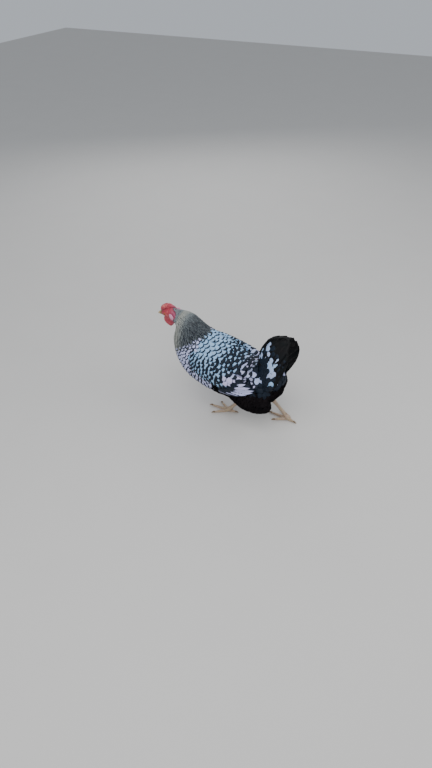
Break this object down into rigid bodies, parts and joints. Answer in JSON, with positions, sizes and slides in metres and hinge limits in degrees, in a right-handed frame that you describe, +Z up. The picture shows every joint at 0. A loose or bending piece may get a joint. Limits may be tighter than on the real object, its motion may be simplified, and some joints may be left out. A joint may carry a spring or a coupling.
{
  "type": "laced hen model",
  "caption": "Still life-size model of a silver-laced hen in mid stride, standing on both feet with its tail raised.",
  "frame": {"origin": "on the floor, under the middle of the model's bounding box", "axes": "+Z up, -Y the way the hen faces, +X to the hen's own left"},
  "size_m": [0.2, 0.497, 0.358],
  "materials": {
    "red_skin": "soft wrinkled red skin of comb, face and wattles",
    "lobe_skin": "smooth paler red skin of the ear lobes",
    "horn": "satin yellow-brown horn",
    "eye": "wet orange-brown iris and black pupil",
    "neck_feather": "narrow silver hackle feathers with dark centres",
    "laced_feather": "white feathers edged with black",
    "black_feather": "black feathers with a faint sheen",
    "dark_fluff": "soft black and slate fluff",
    "leg_scale": "pale yellow scaled skin"
  },
  "bodies": {
    "root": {"beak_lower": "horn", "beak_upper": "horn", "claw_left_hind": "horn", "claw_left_inner": "horn", "claw_left_middle": "horn", "claw_left_outer": "horn", "claw_right_hind": "horn", "claw_right_inner": "horn", "claw_right_middle": "horn", "claw_right_outer": "horn", "comb": "red_skin", "earlobe_left": "lobe_skin", "earlobe_right": "lobe_skin", "eye_left": "eye", "eye_right": "eye", "head": "red_skin", "neck": "neck_feather", "rump": "dark_fluff", "shank_left": "leg_scale", "shank_right": "leg_scale", "tail_left": "black_feather", "tail_right": "black_feather", "thigh_left": "dark_fluff", "thigh_right": "dark_fluff", "toe_left_hind": "leg_scale", "toe_left_inner": "leg_scale", "toe_left_middle": "leg_scale", "toe_left_outer": "leg_scale", "toe_right_hind": "leg_scale", "toe_right_inner": "leg_scale", "toe_right_middle": "leg_scale", "toe_right_outer": "leg_scale", "trunk": "laced_feather", "wattle_left": "red_skin", "wattle_right": "red_skin", "wing_left": "laced_feather", "wing_right": "laced_feather"}
  },
  "joints": []
}
